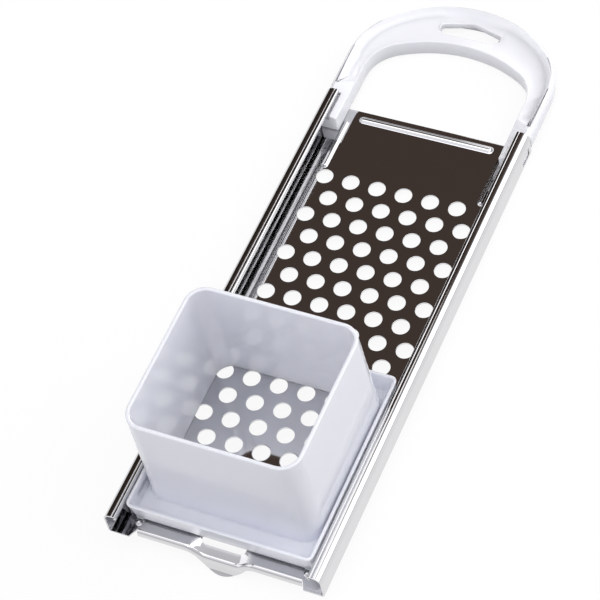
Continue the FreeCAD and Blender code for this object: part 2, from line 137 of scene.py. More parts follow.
class SlicerHopperSizes(bpy.types.PropertyGroup):
    wall: length("Box wall", "Thickness of the box's walls", 0.002)
    corner: length("Box corner", "Radius of the box's upright corners", 0.010)
    rim: length("Rim rounding", "Rounding of the box's rim", 0.00085)
    fillet: length("Foot fillet", "Fillet between the box and the tray", 0.0008)
    floor: length("Tray floor", "Height of the tray's floor", 0.006)
    foot_half: length("Box foot across", "Half the box's width at its foot", 0.0434)
    foot_front: length("Box foot front", "Middle to the front wall's foot", 0.0386)
    foot_back: length("Box foot back", "Middle to the back wall's foot", 0.0432)
    foot_limit: length("Box foot limit", "Most that the foot fillet reaches out", 0.04366)
    side_draft: length("Side draft", "How far each side leans in", 0.0011)
    front_draft: length("Front draft", "How far the front leans out", 0.0013)
    back_draft: length("Back draft", "How far the back leans in", 0.0040)
    tray_half_x: length("Tray across", "Half the width of the tray's floor", 0.0437)
    tray_half_y: length("Tray along", "Half the length of the tray's floor", 0.0471)
    tray_corner: length("Tray corner", "Radius of the tray's inner corners", 0.0015)
    tray_spread_x: length("Tray side spread", "How far the tray's sides lean out", 0.001)
    tray_spread_y: length("Tray end spread", "How far the tray's ends lean out", 0.0023)
    tray_low: length("Tray foot", "Height of the tray wall's lower edge", 0.0028)
    tray_under: length("Tray underside", "Underside of the tray's floor", 0.0040)
    tray_top: length("Tray rim", "Height of the tray's rim", 0.0148)
    tray_wall: length("Tray wall", "Thickness of the tray's rim", 0.0015)
    tray_bend: length("Tray bend", "Rounding between the tray's floor and its wall", 0.0004)
    tray_round: length("Tray rim rounding", "Rounding of the tray's rim", 0.00045)
    tray_chamfer: length("Tray chamfer", "Chamfer of the tray wall's lower edge", 0.0002)
    small_round: length("Small rounding", "Rounding of the runners and pads", 0.0003)


class SlicerHandleSizes(bpy.types.PropertyGroup):
    half_width: length("Half width", "Middle to the outside of the bow", handle_high.x)
    apex: length("Apex", "Y of the bow's crown", handle_high.y)
    top: length("Top", "Height of the bow's rim", handle_high.z)
    bottom: length("Bottom", "Height of the bow's underside", handle_low.z)
    end_gap: length("End gap", "Gap between the bow and the rails' ends", 0.0003)
    outer_top: length("Outer top radius", "Radius of the bow's outer crown", 0.062)
    outer_corner: length("Outer corner radius", "Radius of the bow's outer shoulders", 0.036)
    inner_top: length("Inner top radius", "Radius of the grip's crown", 0.0675)
    inner_corner: length("Inner corner radius", "Radius of the grip's shoulders", 0.020)
    leg_width: length("Leg width", "Width of a leg of the bow", 0.01115)
    inner_apex: length("Inner apex", "Y of the grip's upper edge", 0.1802)
    top_round: length("Top rounding", "Rounding of the rim's outer edge", 0.004)
    base_round: length("Base rounding", "Rounding of the lower outer edge", 0.0045)
    crease_side: length("Crease at the legs", "Inset of the crease at the legs", 0.0055)
    crease_crown: length("Crease at the crown", "Inset of the crease at the crown", 0.0039)
    crease_height: length("Crease height", "Height of the crease inside the rim", 0.0072)
    web_edge: length("Web edge", "Height of the web at the grip", 0.0103)
    recess_start: length("Recess start", "Y where the crease begins", 0.1485)
    recess_ramp: length("Recess ramp", "Length of the slope that ends the recess", 0.010)
    crease_lean: FloatProperty(name="Crease lean", description="Lean of the flank above the crease",
                               default=0.52)
    hollow_top: length("Hollow top", "Height of the hollow's roof under the web", 0.0042)
    hollow_foot: length("Hollow foot inset", "Inset of the hollow at its mouth", 0.0069)
    hollow_roof: length("Hollow roof inset", "Inset of the hollow at its roof", 0.0032)
    skirt_wall: length("Skirt wall", "Thickness of the wall round the grip", 0.002)
    leg_end: length("Leg end", "Y of the legs' lower ends", 0.1183)
    leg_inner: length("Leg inside", "Middle to a leg's inner face", 0.0415)
    leg_outer: length("Leg outside", "Middle to a leg's outer face", 0.0526)
    leg_top: length("Leg top", "Top of a leg inside the rail", 0.0093)
    leg_round: length("Leg rounding", "Rounding of a leg's lower end", 0.0008)
    slot_corner: length("Slot corner", "Cut of the slot's corners", 0.0011)
    edge: length("Edge rounding", "Rounding of the moulded edges", 0.0005)


class SlicerColours(bpy.types.PropertyGroup):
    steel: colour("Steel", "Polished stainless steel", (0.70, 0.70, 0.71))
    hopper: colour("Hopper", "Glossy plastic of the hopper", (0.82, 0.832, 0.90))
    handle: colour("Handle", "Glossy plastic of the handle", (0.86, 0.866, 0.895))
    floor: colour("Floor", "Light that the floor sends back onto the slicer", (0.42, 0.42, 0.42))
    backdrop: colour("Backdrop", "The floor as it is seen", (0.94, 0.94, 0.94))
    horizon: colour("Horizon", "Surroundings at the horizon", (0.60, 0.60, 0.62))
    zenith: colour("Zenith", "Surroundings overhead", (0.80, 0.80, 0.84))


# shared helpers
def as_mesh(name, bm):
    mesh = bpy.data.meshes.new(name)
    bm.to_mesh(mesh)
    bm.free()
    return mesh


def new_object(name, data):
    obj = bpy.data.objects.new(name, data)
    bpy.context.scene.collection.objects.link(obj)
    return obj


def helper(name, bm):
    return new_object(name, as_mesh(name, bm))


def finish_piece(name, mesh, material, body, nodes):
    mesh.materials.clear()
    mesh.materials.append(material)
    for face in mesh.polygons:
        face.use_smooth = True
        face.material_index = 0
    obj = new_object(name, mesh)
    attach(obj, body)
    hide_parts(*nodes)
    return obj


def new_parts(made, kind):
    return [part for part in made["geom"] if isinstance(part, kind)]


def edges_among(verts):
    chosen = set(verts)
    return list({e for v in verts for e in v.link_edges if e.other_vert(v) in chosen})


def round_corners(bm, geom, radius, segments, affect="EDGES"):
    bmesh.ops.bevel(bm, geom=geom, offset=radius, offset_type="OFFSET", affect=affect,
                    segments=segments, profile=0.5, material=-1)


def quarter_turn(steps):
    return [math.radians(90.0 * i / steps) for i in range(steps + 1)]


def extend(bm, edges, offset):
    made = bmesh.ops.extrude_edge_only(bm, edges=edges)
    verts = new_parts(made, bmesh.types.BMVert)
    bmesh.ops.translate(bm, verts=verts, vec=offset)
    return verts


def walk(bm, start, heading, moves):
    """Edge chain in the XZ plane, of runs (length,) and bends (radius, degrees, steps)."""
    tip = bm.verts.new(start)
    chain = [tip]
    angle = math.radians(heading)
    for move in moves:
        if len(move) == 1:
            tip = bmesh.ops.extrude_vert_indiv(bm, verts=[tip])["verts"][0]
            tip.co += Vector((math.cos(angle), 0.0, math.sin(angle))) * move[0]
            chain.append(tip)
            continue
        radius, degrees, steps = move
        side = 1.0 if degrees > 0 else -1.0
        centre = tip.co + Vector((-math.sin(angle), 0.0, math.cos(angle))) * radius * side
        before = set(bm.verts)
        made = bmesh.ops.spin(bm, geom=[tip], cent=centre, axis=(0.0, -1.0, 0.0),
                              angle=math.radians(degrees), steps=steps)
        chain += [v for v in bm.verts if v not in before]
        tip = [v for v in made["geom_last"] if isinstance(v, bmesh.types.BMVert)][0]
        angle += math.radians(degrees)
    return chain


def smooth(t):
    t = min(max(t, 0.0), 1.0)
    return t * t * (3.0 - 2.0 * t)


# pressed sheet
def draw_rail(bm, s, side):
    """Folded rail: foot bend, wall, rounded shoulder, groove and rolled hem."""
    half = s.thickness / 2.0
    wall_x = s.half_width - half
    top_z = s.rail_height - half
    root_x = wall_x - s.foot_bend - s.foot_run
    wall_z = half + s.foot_bend
    groove_turn = 35.0
    hem_turn = 205.0
    before = set(bm.verts)
    chain = walk(bm, (root_x, s.low_end, half), 0.0, [
        (s.foot_run,),
        (s.foot_bend, 90.0, 8),
        (s.snap_bottom - wall_z,),
        (s.snap_top - s.snap_bottom,),
        (top_z - s.crown - s.snap_top,),
        (s.crown, 90.0, 18),
        (s.groove, groove_turn, 3),
        (s.groove, -2.0 * groove_turn, 6),
        (s.groove, groove_turn, 3),
        (s.hem, hem_turn, 14),
    ])
    edges = edges_among(chain)
    for stop in (s.snap_low, s.snap_high, s.high_end):
        verts = extend(bm, edges, (0.0, stop - chain[0].co.y, 0.0))
        edges = edges_among(verts)
        chain = [min(verts, key=lambda v: (v.co - Vector((root_x, stop, half))).length_squared)]
    window = [f for f in bm.faces
              if abs(f.calc_center_median().x - wall_x) < same
              and s.snap_low < f.calc_center_median().y < s.snap_high
              and s.snap_bottom < f.calc_center_median().z < s.snap_top]
    bmesh.ops.delete(bm, geom=window, context="FACES")
    if side < 0:
        mine = [v for v in bm.verts if v not in before]
        bmesh.ops.scale(bm, vec=(-1.0, 1.0, 1.0), verts=mine)
    return root_x


def dip_share(s, x):
    return smooth((s.dip_half - abs(x)) / (s.dip_half - s.dip_flat))


def tongue_drop(s, x):
    """How far the tongue hangs below the flange at this place."""
    flange = s.thickness - s.flange - s.dip * dip_share(s, x)
    centre = s.thickness - s.flange - s.dip + s.hook_rise
    if abs(x) >= s.hook_radius:
        return 0.0
    return max(0.0, flange - centre + math.sqrt(s.hook_radius ** 2 - x * x))


def draw_lip(bm, s):
    """Dipping front of the sheet, its fold, the flange and the tongue, as one swept net."""
    half = s.thickness / 2.0
    bend = s.fold_bend
    slope_rows = 14
    bend_rows = 8
    flange_rows = 12
    fold_y = s.fold_y + half + bend
    dip_y = s.fold_y + half + s.dip_run
    flat_y = fold_y + s.fold_lead
    rows = [(dip_y - (dip_y - flat_y) * i / slope_rows, 0.0, 0) for i in range(slope_rows + 1)]
    rows += [(fold_y - bend * math.sin(a), bend * (1.0 - math.cos(a)), 0)
             for a in quarter_turn(bend_rows)]
    rows += [(fold_y - bend, bend, i + 1) for i in range(flange_rows)]
    # places across the lip, closer together at the sides of the tongue
    inner = (0.0, 0.0015, 0.0030, 0.0045, 0.0058, 0.0070, 0.0080, 0.0089, 0.0097, 0.0104,
             0.0110, 0.0115, 0.0119, 0.0122, 0.01245, 0.0127, 0.0131, 0.0137, 0.0144,
             0.0152, 0.0162, s.dip_half, s.fold_half)
    stations = [-x for x in reversed(inner[1:])] + list(inner)
    chain = [bm.verts.new((stations[0], 0.0, 0.0))]
    for station in stations[1:]:
        tip = bmesh.ops.extrude_vert_indiv(bm, verts=[chain[-1]])["verts"][0]
        tip.co.x = station
        chain.append(tip)
    every = list(chain)
    edges = edges_among(chain)
    for _ in rows[1:]:
        verts = extend(bm, edges, (0.0, -1.0, 0.0))
        every += verts
        edges = edges_among(verts)
    faces = {f for v in every for f in v.link_faces}
    beside = [f for f in faces if abs(f.calc_center_median().x) > s.dip_half
              and f.calc_center_median().y > -slope_rows]
    bmesh.ops.delete(bm, geom=beside, context="FACES")
    every = [v for v in every if v.is_valid]
    for v in every:
        x = v.co.x
        row_y, fall, below = rows[round(-v.co.y)]
        slope = min(1.0, max(0.0, (dip_y - row_y) / (dip_y - fold_y)))
        drop = s.dip * dip_share(s, x) * slope ** s.dip_power
        z = half - drop - fall
        y = row_y
        if below:
            low = s.thickness - s.flange - drop - tongue_drop(s, x)
            z += (low - z) * below / flange_rows
            curl_z = s.thickness - s.flange - s.dip
            if z < curl_z:
                radius = s.hook_curl + half
                y -= radius - math.sqrt(radius * radius - (curl_z - z) ** 2)
        v.co = (x, y, z)
    return dip_y, flat_y, fold_y


def draw_ring(bm, x, y, z, radius, grow, steps):
    """Round hole edge with a narrow band round it; returns the band's outer edges."""
    made = bmesh.ops.create_circle(bm, cap_ends=False, radius=radius, segments=steps,
                                   matrix=Matrix.Translation((x, y, z)))
    outer = extend(bm, edges_among(made["verts"]), (0.0, 0.0, 0.0))
    factor = (radius + grow) / radius
    bmesh.ops.scale(bm, vec=(factor, factor, 1.0), space=Matrix.Translation((-x, -y, -z)),
                    verts=outer)
    return edges_among(outer)


def draw_bead(bm, s, a, b, width):
    """Long ridge pressed up out of the sheet; returns the edges of its foot."""
    a = Vector((a[0], a[1], s.thickness / 2.0))
    b = Vector((b[0], b[1], s.thickness / 2.0))
    along = (b - a).normalized() if (b - a).length > same else Vector((0.0, 1.0, 0.0))
    segments = 32
    turn = math.atan2(along.y, along.x) + math.pi / segments
    made = bmesh.ops.create_circle(bm, cap_ends=False, radius=1.0, segments=segments,
                                   matrix=Matrix.Rotation(turn, 4, "Z"))
    verts = made["verts"]
    first = edges_among(verts)
    steps = 12
    crest_share = 0.06
    radii = [width / 2.0 + s.bead_foot]
    radii += [width / 2.0 * (1.0 - i / steps) for i in range(steps)]
    radii.append(width / 2.0 * crest_share)
    for k, radius in enumerate(radii):
        if k:
            made = bmesh.ops.extrude_edge_only(bm, edges=edges_among(verts))
            verts = new_parts(made, bmesh.types.BMVert)
        share = min(1.0, radius / (width / 2.0))
        lift = s.bead_height * 0.5 * (1.0 + math.cos(math.pi * share))
        for v in verts:
            if k:
                flat = Vector((v.co.x, v.co.y, a.z))
                end = b if (flat - (a + b) / 2.0).dot(along) > 0.0 else a
                out = (flat - end).normalized()
            else:
                out = Vector((v.co.x, v.co.y, 0.0))
                end = b if out.dot(along) > 0.0 else a
            v.co = end + out * radius + Vector((0.0, 0.0, lift))
    bmesh.ops.contextual_create(bm, geom=edges_among(verts))
    return first


def rounded_shape(half_x, y_low, y_high, radius, z, steps):
    """Places round a rectangle with rounded corners, counter-clockwise."""
    places = []
    for i in range(4 * (steps + 1)):
        corner, step = divmod(i, steps + 1)
        angle = math.radians(90.0 * (corner + step / steps))
        cx = half_x - radius if corner in (0, 3) else radius - half_x
        cy = y_high - radius if corner in (0, 1) else y_low + radius
        places.append(Vector((cx + radius * math.cos(angle), cy + radius * math.sin(angle), z)))
    return places


def draw_skin(bm, shapes, closed):
    """Skin through loops of the same count, each extruded from the last; returns the last."""
    ring = bmesh.ops.create_circle(bm, cap_ends=False, radius=1.0,
                                   segments=len(shapes[0]))["verts"]
    for v, place in zip(ring, shapes[0]):
        v.co = place
    first = list(ring)
    for shape in shapes[1:] + (shapes[:1] if closed else []):
        order = {v.co.to_tuple(): i for i, v in enumerate(ring)}
        made = bmesh.ops.extrude_edge_only(bm, edges=edges_among(ring))
        ring = sorted(new_parts(made, bmesh.types.BMVert),
                      key=lambda v: order[v.co.to_tuple()])
        for v, place in zip(ring, shape):
            v.co = place
    if closed:
        bmesh.ops.remove_doubles(bm, verts=first + ring, dist=1e-7)
    return ring


def build_sheet(s, material):
    bm = bmesh.new()
    half = s.thickness / 2.0
    root_x = draw_rail(bm, s, 1)
    draw_rail(bm, s, -1)
    dip_y, flat_y, fold_y = draw_lip(bm, s)

    def at(x, y):
        return min(bm.verts, key=lambda v: (v.co - Vector((x, y, half))).length_squared)

    def join(a, b):
        return bm.edges.new((a, b))

    def between(a, b):
        return bm.edges.get((a, b))

    outline = []
    for side in (-1, 1):
        notch = bm.verts.new((side * s.notch_half, s.low_end, half))
        fold_end = at(side * s.fold_half, fold_y)
        flat_end = at(side * s.fold_half, flat_y)
        outline += [join(fold_end, notch), join(notch, at(side * root_x, s.low_end)),
                    between(fold_end, flat_end), between(flat_end, at(side * s.dip_half, flat_y))]
        stops = (s.low_end, s.snap_low, s.snap_high, s.high_end)
        for low, high in zip(stops[:-1], stops[1:]):
            outline.append(between(at(side * root_x, low), at(side * root_x, high)))
        outline += [e for e in bm.edges
                    if all(abs(v.co.x - side * s.dip_half) < same and v.co.y > flat_y - same
                           for v in e.verts)]
    outline.append(join(at(-root_x, s.high_end), at(root_x, s.high_end)))
    outline += [e for e in bm.edges
                if all(abs(v.co.y - dip_y) < same and abs(v.co.x) < s.dip_half + same
                       for v in e.verts)]
    first_y = s.row_spacing * (s.rows - 1) / 2.0
    stagger = 0.25
    for row in range(s.rows):
        shift = stagger if row % 2 else -stagger
        for i in range(s.columns):
            x = (i - (s.columns - 1) / 2.0 + shift) * s.pitch
            outline += draw_ring(bm, x, first_y - row * s.row_spacing, half, s.hole / 2.0,
                                 s.hole_band, steps=40)
    outline += draw_bead(bm, s, (-s.cross_bead_half, s.cross_bead_y),
                         (s.cross_bead_half, s.cross_bead_y), s.cross_bead_width)
    for side in (-1, 1):
        outline += draw_bead(bm, s, (side * s.side_bead_x, s.side_bead_low),
                             (side * s.side_bead_x, s.side_bead_high), s.side_bead_width)
        stop = (side * s.stop_x, s.stop_y)
        outline += draw_bead(bm, s, stop, stop, s.stop_width)
    bmesh.ops.triangle_fill(bm, use_beauty=True, use_dissolve=False,
                            edges=list(dict.fromkeys(outline)), normal=(0.0, 0.0, 1.0))
    bmesh.ops.recalc_face_normals(bm, faces=bm.faces)
    sheet = helper("flat_sheet", bm)
    shell = sheet.modifiers.new("gauge", "SOLIDIFY")
    shell.thickness = s.thickness
    shell.offset = 0.0
    shell.use_even_offset = True
    shell.use_quality_normals = True
    window = rounded_shape(s.window_half, s.window_low, s.window_high, s.window_corner, -s.dip, 8)
    mesh = combine(sheet, [
        ("DIFFERENCE", helper("lip_window", build_prism(window, (0.0, 0.0, 2.0 * s.dip))))])
    obj = finish_piece("pressed_sheet", mesh, material, "frame",
                       ("perforated_plate", "left_rail", "right_rail", "front_lip", "pot_hook"))
    round_edges(obj, s.edge, segments=2, angle=40.0)


def mark_outer_edges(mesh, angle):
    """Gives each sharp outward edge a bevel weight, so that the creases stay crisp."""
    bm = bmesh.new()
    bm.from_mesh(mesh)
    weight = bm.edges.layers.float.new("bevel_weight_edge")
    for edge in bm.edges:
        if edge.is_manifold and edge.calc_face_angle_signed() > math.radians(angle):
            edge[weight] = 1.0
    bm.to_mesh(mesh)
    bm.free()


def round_edges(obj, width, segments, angle, by_weight=False):
    bevel = obj.modifiers.new("edges", "BEVEL")
    bevel.width = width
    bevel.segments = segments
    bevel.limit_method = "WEIGHT" if by_weight else "ANGLE"
    bevel.angle_limit = math.radians(angle)
    bevel.use_clamp_overlap = False
    even_shading(obj, True)


def even_shading(obj, keep_sharp):
    weighted = obj.modifiers.new("shading", "WEIGHTED_NORMAL")
    weighted.mode = "FACE_AREA_WITH_ANGLE"
    weighted.weight = 60
    weighted.keep_sharp = keep_sharp


# hopper
def build_hopper(s, material):
    bm = bmesh.new()
    steps = 12
    foot_z = hopper_low.z
    top_z = hopper_high.z

    def box_ring(z, inset):
        k = (z - foot_z) / (top_z - foot_z)
        half_x = min(s.foot_half - s.side_draft * k - inset, s.foot_limit)
        front = s.foot_front + s.front_draft * k - inset
        back = s.foot_back - s.back_draft * k - inset
        return rounded_shape(half_x, hopper_y - front, hopper_y + back,
                             s.corner - min(inset, s.wall), z, steps)

    def tray_ring(z, outset, k, corner):
        half_y = s.tray_half_y + s.tray_spread_y * k + outset
        return rounded_shape(s.tray_half_x + s.tray_spread_x * k + outset, hopper_y - half_y,
                             hopper_y + half_y, corner, z, steps)

    def tray_outer(z, inset):
        k = (z - s.tray_low) / (s.tray_top - s.tray_low)
        outset = s.tray_wall - inset
        return tray_ring(z, outset, k, s.tray_corner + outset)

    def tray_inner(z, outset):
        k = (z - s.floor) / (s.tray_top - s.floor)
        return tray_ring(z, outset, k, s.tray_corner + outset)

    rings = [box_ring(foot_z, s.wall)]
    shoulder = top_z - s.rim
    quarter = quarter_turn(4)
    rings += [box_ring(shoulder + s.rim * math.sin(a), s.wall - s.rim + s.rim * math.cos(a))
              for a in quarter]
    rings += [box_ring(shoulder + s.rim * math.cos(a), s.rim - s.rim * math.sin(a))
              for a in quarter]
    rings += [box_ring(s.floor + s.fillet * (1.0 - math.sin(a)), -s.fillet * (1.0 - math.cos(a)))
              for a in quarter]
    bend = s.tray_bend
    side_share = 0.1
    for a in quarter:
        half_x = s.tray_half_x + bend * side_share * math.sin(a)
        half_y = s.tray_half_y - bend * (1.0 - math.sin(a))
        rings.append(rounded_shape(half_x, hopper_y - half_y, hopper_y + half_y, s.tray_corner,
                                   s.floor + bend * (1.0 - math.cos(a)), steps))
    turn = s.tray_round
    shoulder = s.tray_top - turn
    rings += [tray_inner(shoulder + turn * math.sin(a), turn * (1.0 - math.cos(a)))
              for a in quarter]
    rings += [tray_outer(shoulder + turn * math.cos(a), turn * (1.0 - math.sin(a)))
              for a in quarter]
    rings += [tray_outer(s.tray_low + s.tray_chamfer, 0.0), tray_outer(s.tray_low, s.tray_chamfer),
              tray_ring(s.tray_low, 0.0, 0.0, s.tray_corner),
              tray_ring(s.tray_under, 0.0, 0.0, s.tray_corner),
              box_ring(s.tray_under, 0.0), box_ring(foot_z, 0.0)]
    draw_skin(bm, rings, True)
    for side in (-1, 1):
        add_runner(bm, s, side)
        add_pad(bm, s, side)
    bmesh.ops.recalc_face_normals(bm, faces=bm.faces)
    obj = finish_piece("hopper_moulding", as_mesh("hopper_moulding", bm), material, "hopper",
                       ("hopper",))
    even_shading(obj, False)


def add_runner(bm, s, side):
    shelf_x, web_x, outer_x = 0.0444, 0.0504, 0.0524
    foot_z, shelf_z, top_z = 0.0011, 0.0098, 0.0118
    half_run = 0.042
    corners = ((shelf_x, shelf_z), (web_x, shelf_z), (web_x, foot_z), (outer_x, foot_z),
               (outer_x, top_z), (shelf_x, top_z))
    verts = [bm.verts.new((side * x, hopper_y - half_run, z)) for x, z in corners]
    face = bmesh.ops.contextual_create(bm, geom=verts)["faces"][0]
    made = bmesh.ops.extrude_face_region(bm, geom=[face], use_keep_orig=True)
    end = new_parts(made, bmesh.types.BMVert)
    bmesh.ops.translate(bm, verts=end, vec=(0.0, 2.0 * half_run, 0.0))
    round_corners(bm, edges_among(verts + end), s.small_round, 3)


def add_pad(bm, s, side):
    width, depth, height = 0.0034, 0.0026, 0.0046
    middle_x, middle_z = 0.042, 0.0037
    front = hopper_y - s.tray_half_y - s.tray_wall
    verts = bmesh.ops.create_cube(bm, size=1.0)["verts"]
    bmesh.ops.scale(bm, vec=(width, depth, height), verts=verts)
    bmesh.ops.translate(bm, verts=verts, vec=(side * middle_x, front + depth / 2.0, middle_z))
    round_corners(bm, edges_among(verts), s.small_round, 3)


# handle
def bow_ring(half, apex, top_radius, corner_radius, end_y, z):
    """Places round the bow's outline: straight legs, two corner arcs and one top arc."""
    corner_steps = 20
    top_steps = 48
    gap = top_radius - corner_radius
    centre_y = apex - top_radius
    corner_x = half - corner_radius
    corner_y = centre_y + math.sqrt(gap * gap - corner_x * corner_x)
    turn = math.atan2(corner_y - centre_y, corner_x)
    places = [Vector((half, end_y, z))]
    for cx, cy, radius, start, stop, steps in (
            (corner_x, corner_y, corner_radius, 0.0, turn, corner_steps),
            (0.0, centre_y, top_radius, turn, math.pi - turn, top_steps),
            (-corner_x, corner_y, corner_radius, math.pi - turn, math.pi, corner_steps)):
        for i in range(0 if start == 0.0 else 1, steps + 1):
            angle = start + (stop - start) * i / steps
            places.append(Vector((cx + radius * math.cos(angle), cy + radius * math.sin(angle), z)))
    places.append(Vector((-half, end_y, z)))
    return places


def solid_through(rings):
    """Closed solid through stacked outlines of the same count."""
    bm = bmesh.new()
    draw_skin(bm, rings, False)
    bmesh.ops.holes_fill(bm, edges=[e for e in bm.edges if e.is_boundary], sides=0)
    bmesh.ops.recalc_face_normals(bm, faces=bm.faces)
    return bm


def combine(base, tools, merge=0.0):
    """Cuts or joins the helper solids; returns the mesh, its near corners merged if asked."""
    for operation, tool in tools:
        step = base.modifiers.new(tool.name, "BOOLEAN")
        step.operation = operation
        step.object = tool
        step.solver = "EXACT"
    bpy.context.view_layer.update()
    graph = bpy.context.evaluated_depsgraph_get()
    mesh = bpy.data.meshes.new_from_object(base.evaluated_get(graph), depsgraph=graph)
    if merge:
        bm = bmesh.new()
        bm.from_mesh(mesh)
        bmesh.ops.remove_doubles(bm, verts=bm.verts, dist=merge)
        bmesh.ops.dissolve_degenerate(bm, edges=bm.edges, dist=merge / 3.0)
        bm.to_mesh(mesh)
        bm.free()
    for tool in [base] + [tool for operation, tool in tools]:
        shape = tool.data
        bpy.data.objects.remove(tool)
        bpy.data.meshes.remove(shape)
    return mesh


def build_prism(corners, offset, rounding=0.0):
    """Flat polygon, its corners rounded if asked, extruded by the offset."""
    bm = bmesh.new()
    verts = [bm.verts.new(corner) for corner in corners]
    bmesh.ops.contextual_create(bm, geom=verts)
    if rounding:
        round_corners(bm, verts, rounding, 6, "VERTICES")
    made = bmesh.ops.extrude_face_region(bm, geom=bm.faces[:], use_keep_orig=True)
    bmesh.ops.translate(bm, verts=new_parts(made, bmesh.types.BMVert), vec=offset)
    bmesh.ops.recalc_face_normals(bm, faces=bm.faces)
    return bm


def build_slot(s, low, high):
    foot_x, foot_y = 0.0122, 0.1860
    side_x, side_low, side_high = 0.0159, 0.1883, 0.1927
    apex_y = 0.1973
    right = [(foot_x, foot_y), (side_x, side_low), (side_x, side_high)]
    corners = right + [(0.0, apex_y)] + [(-x, y) for x, y in reversed(right)]
    return build_prism([(x, y, low) for x, y in corners], (0.0, 0.0, high - low), s.slot_corner)


def build_block(low, high, round_end=0.0):
    low = Vector(low)
    high = Vector(high)
    bm = bmesh.new()
    verts = bmesh.ops.create_cube(bm, size=1.0)["verts"]
    bmesh.ops.scale(bm, vec=high - low, verts=verts)
    bmesh.ops.translate(bm, verts=verts, vec=(low + high) / 2.0)
    if round_end:
        near = [e for e in bm.edges if all(v.co.y < low.y + same for v in e.verts)]
        round_corners(bm, near, round_end, 5)
    return bm


def build_handle(s, material):
    end_y = rail_high.y + s.end_gap
    past_y = end_y - 5.0 * spare
    clear_y = s.leg_end - 3.0 * spare
    above = s.top + spare / 2.0
    below = s.bottom - spare
    quarter = quarter_turn(8)

    def outer_ring(side, crown, from_y, z):
        return bow_ring(s.half_width - side, s.apex - crown, s.outer_top - side,
                        s.outer_corner - side, from_y, z)

    def inner_ring(grow, from_y, z):
        return bow_ring(s.half_width - s.leg_width + grow, s.inner_apex + grow,
                        s.inner_top + grow, s.inner_corner + grow, from_y, z)

    rings = []
    for a in quarter:
        inset = s.base_round * (1.0 - math.sin(a))
        z = s.bottom + s.base_round * (1.0 - math.cos(a))
        rings.append(outer_ring(inset, inset, end_y, z))
    for a in quarter:
        inset = s.top_round * (1.0 - math.cos(a))
        z = s.top - s.top_round * (1.0 - math.sin(a))
        rings.append(outer_ring(inset, inset, end_y, z))
    base = helper("bow_base", solid_through(rings))
    grow = s.crease_lean * (above - s.crease_height)
    flank = helper("bow_flank", solid_through([
        outer_ring(s.crease_side, s.crease_crown, s.recess_start, s.crease_height),
        outer_ring(s.crease_side - grow, s.crease_crown - grow,
                   s.recess_start - s.recess_ramp, above)]))
    web = helper("bow_web", solid_through([
        outer_ring(s.crease_side - spare, s.crease_crown - spare, past_y,
                   s.crease_height - spare),
        outer_ring(s.crease_side, s.crease_crown, past_y, s.crease_height),
        inner_ring(0.0, past_y, s.web_edge)]))
    hollow = helper("bow_hollow", solid_through([
        outer_ring(s.hollow_foot, s.hollow_foot, s.recess_start, below),
        outer_ring(s.hollow_roof, s.hollow_roof, s.recess_start, s.hollow_top)]))
    skirt = helper("bow_skirt", solid_through([
        inner_ring(s.skirt_wall, past_y, below - spare), inner_ring(s.skirt_wall, past_y, above)]))
    inner_x = s.half_width - s.leg_width
    crest_x = s.half_width - s.top_round
    slope = (s.top - s.web_edge) / (crest_x - inner_x)
    sheet = bpy.context.scene.slicer_sheet
    sides = ((-1, "left"), (1, "right"))
    strip_x, strip_low, strip_high = 0.0466, 0.0080, 0.0130
    lug_root, lug_face, lug_gap = 0.0521, 0.0534, 0.00035
    tools = []
    for side, name in sides:
        x0, x1 = sorted((side * s.leg_inner, side * s.leg_outer))
        tools.append(("UNION", helper("leg_" + name, build_block(
            (x0, s.leg_end, s.bottom), (x1, end_y + 2.0 * spare, s.leg_top), s.leg_round))))
        corners = [(side * x, s.leg_end, z) for x, z in (
            (s.leg_inner, strip_low), (strip_x, strip_low),
            (strip_x, strip_high), (s.leg_inner, strip_high))]
        tools.append(("UNION", helper("ridge_" + name, build_prism(
            corners, (0.0, end_y + spare - s.leg_end, 0.0)))))
    tools += [
        ("DIFFERENCE", helper("bow_grip", solid_through([
            inner_ring(0.0, clear_y, below), inner_ring(0.0, clear_y, above)]))),
        ("DIFFERENCE", new_object("bow_recess", combine(flank, [("DIFFERENCE", web)]))),
        ("DIFFERENCE", new_object("bow_pocket", combine(hollow, [("DIFFERENCE", skirt)]))),
        ("DIFFERENCE", helper("bow_slot", build_slot(s, below, above))),
    ]
    for side, name in sides:
        corners = [(side * x, clear_y, z) for x, z in (
            (inner_x - spare, s.web_edge - spare * slope), (crest_x, s.top),
            (crest_x, s.top + spare), (inner_x - spare, s.top + spare))]
        tools.append(("DIFFERENCE", helper("shoulder_" + name, build_prism(
            corners, (0.0, s.recess_start + 2.0 * spare - clear_y, 0.0)))))
        x0, x1 = sorted((side * lug_root, side * lug_face))
        tools.append(("UNION", helper("lug_" + name, build_block(
            (x0, sheet.snap_low + lug_gap, sheet.snap_bottom + lug_gap),
            (x1, sheet.snap_high - lug_gap, sheet.snap_top - lug_gap)))))
    mesh = combine(base, tools, merge=0.00006)
    mark_outer_edges(mesh, soft_turn)
    obj = finish_piece("bow_handle", mesh, material, "frame", ("handle",))
    round_edges(obj, s.edge, segments=3, angle=soft_turn, by_weight=True)


# finishes
def shader(name):
    material = bpy.data.materials.new(name)
    material.use_nodes = True
    nodes = material.node_tree.nodes
    links = material.node_tree.links
    return material, nodes, links, nodes["Principled BSDF"]


def noise(nodes, links, place, scale, detail, stretch=(1.0, 1.0, 1.0)):
    mapping = nodes.new("ShaderNodeMapping")
    mapping.inputs["Scale"].default_value = stretch
    links.new(place.outputs["Object"], mapping.inputs["Vector"])
    texture = nodes.new("ShaderNodeTexNoise")
    texture.inputs["Scale"].default_value = scale
    texture.inputs["Detail"].default_value = detail
    links.new(mapping.outputs["Vector"], texture.inputs["Vector"])
    return texture.outputs["Fac"]


